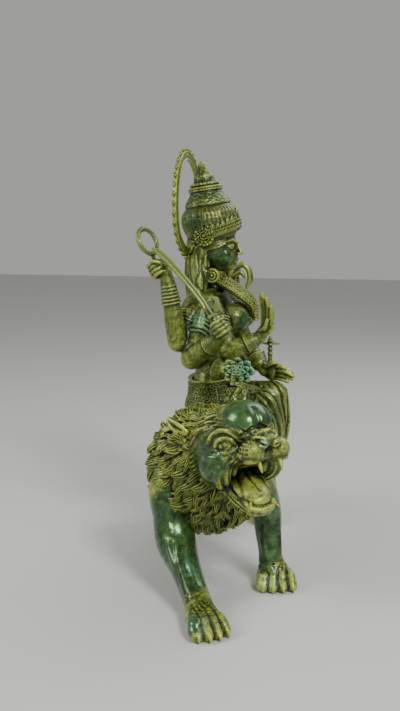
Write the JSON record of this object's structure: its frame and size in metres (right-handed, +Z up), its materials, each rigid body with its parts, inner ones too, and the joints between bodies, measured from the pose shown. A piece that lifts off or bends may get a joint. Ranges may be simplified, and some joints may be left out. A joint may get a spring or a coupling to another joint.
{
  "type": "durga figure",
  "caption": "Cast bronze statuette of a many-armed goddess in a tall crown and ring halo, seated sideways on a roaring lion.",
  "frame": {"origin": "middle of the bounding box at floor level, under the four paws", "axes": "+Z up, the goddess faces -Y, the lion faces -X with its head turned towards -Y"},
  "size_m": [0.4624, 0.1924, 0.5058],
  "materials": {
    "lion_bronze": "green patina, polished on the high places",
    "figure_bronze": "olive green patina, rubbed on the relief",
    "halo_bronze": "olive green patina",
    "held_bronze": "olive green patina, worn bright on the ridges"
  },
  "bodies": {
    "root": {"lion": "lion_bronze", "durga": "figure_bronze", "halo": "halo_bronze", "sword": "held_bronze", "discus": "held_bronze", "staff": "held_bronze"}
  },
  "joints": []
}
